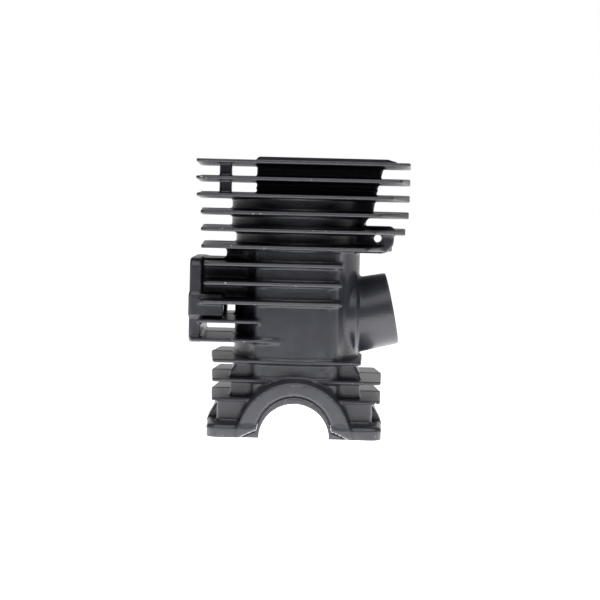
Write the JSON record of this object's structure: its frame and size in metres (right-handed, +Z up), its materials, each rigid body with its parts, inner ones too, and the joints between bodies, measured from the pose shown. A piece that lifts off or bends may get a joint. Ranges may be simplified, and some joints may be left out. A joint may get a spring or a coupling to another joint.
{
  "type": "two-stroke engine cylinder",
  "caption": "Finned one-piece two-stroke saw cylinder with head, intake stub, exhaust flange and upper crankcase half, holding its piston, rings and gudgeon pin.",
  "frame": {"origin": "where the cylinder axis crosses the crankshaft axis, on the split face that the lower crankcase half bolts to", "axes": "+Z up the cylinder axis to the head, +Y along the crankshaft axis to the rear, +X out of the intake stub, so the exhaust flange faces -X"},
  "size_m": [0.0905, 0.08, 0.1141],
  "materials": {
    "black_coat": "semi-matt black coat over die-cast aluminium",
    "piston_alloy": "turned, matt",
    "ring_iron": "ground",
    "peg_steel": "ground",
    "pin_steel": "ground and polished",
    "clip_steel": "blued spring steel"
  },
  "bodies": {
    "cylinder": {"cylinder_casting": "black_coat"},
    "piston_group": {"piston": "piston_alloy", "piston_ring_upper": "ring_iron", "piston_ring_lower": "ring_iron", "ring_peg_upper": "peg_steel", "ring_peg_lower": "peg_steel", "circlip_front": "clip_steel", "circlip_rear": "clip_steel"},
    "pin": {"gudgeon_pin": "pin_steel"}
  },
  "joints": [
    {"name": "piston_slide", "type": "slide", "parent": "cylinder", "child": "piston_group", "axis": [0, 0, 1], "range_m": [-0.032, 0]},
    {"name": "gudgeon_pin_spin", "type": "hinge", "parent": "piston_group", "child": "pin", "pos_m": [0, 0, 0.0695], "axis": [0, 1, 0], "continuous": true}
  ]
}
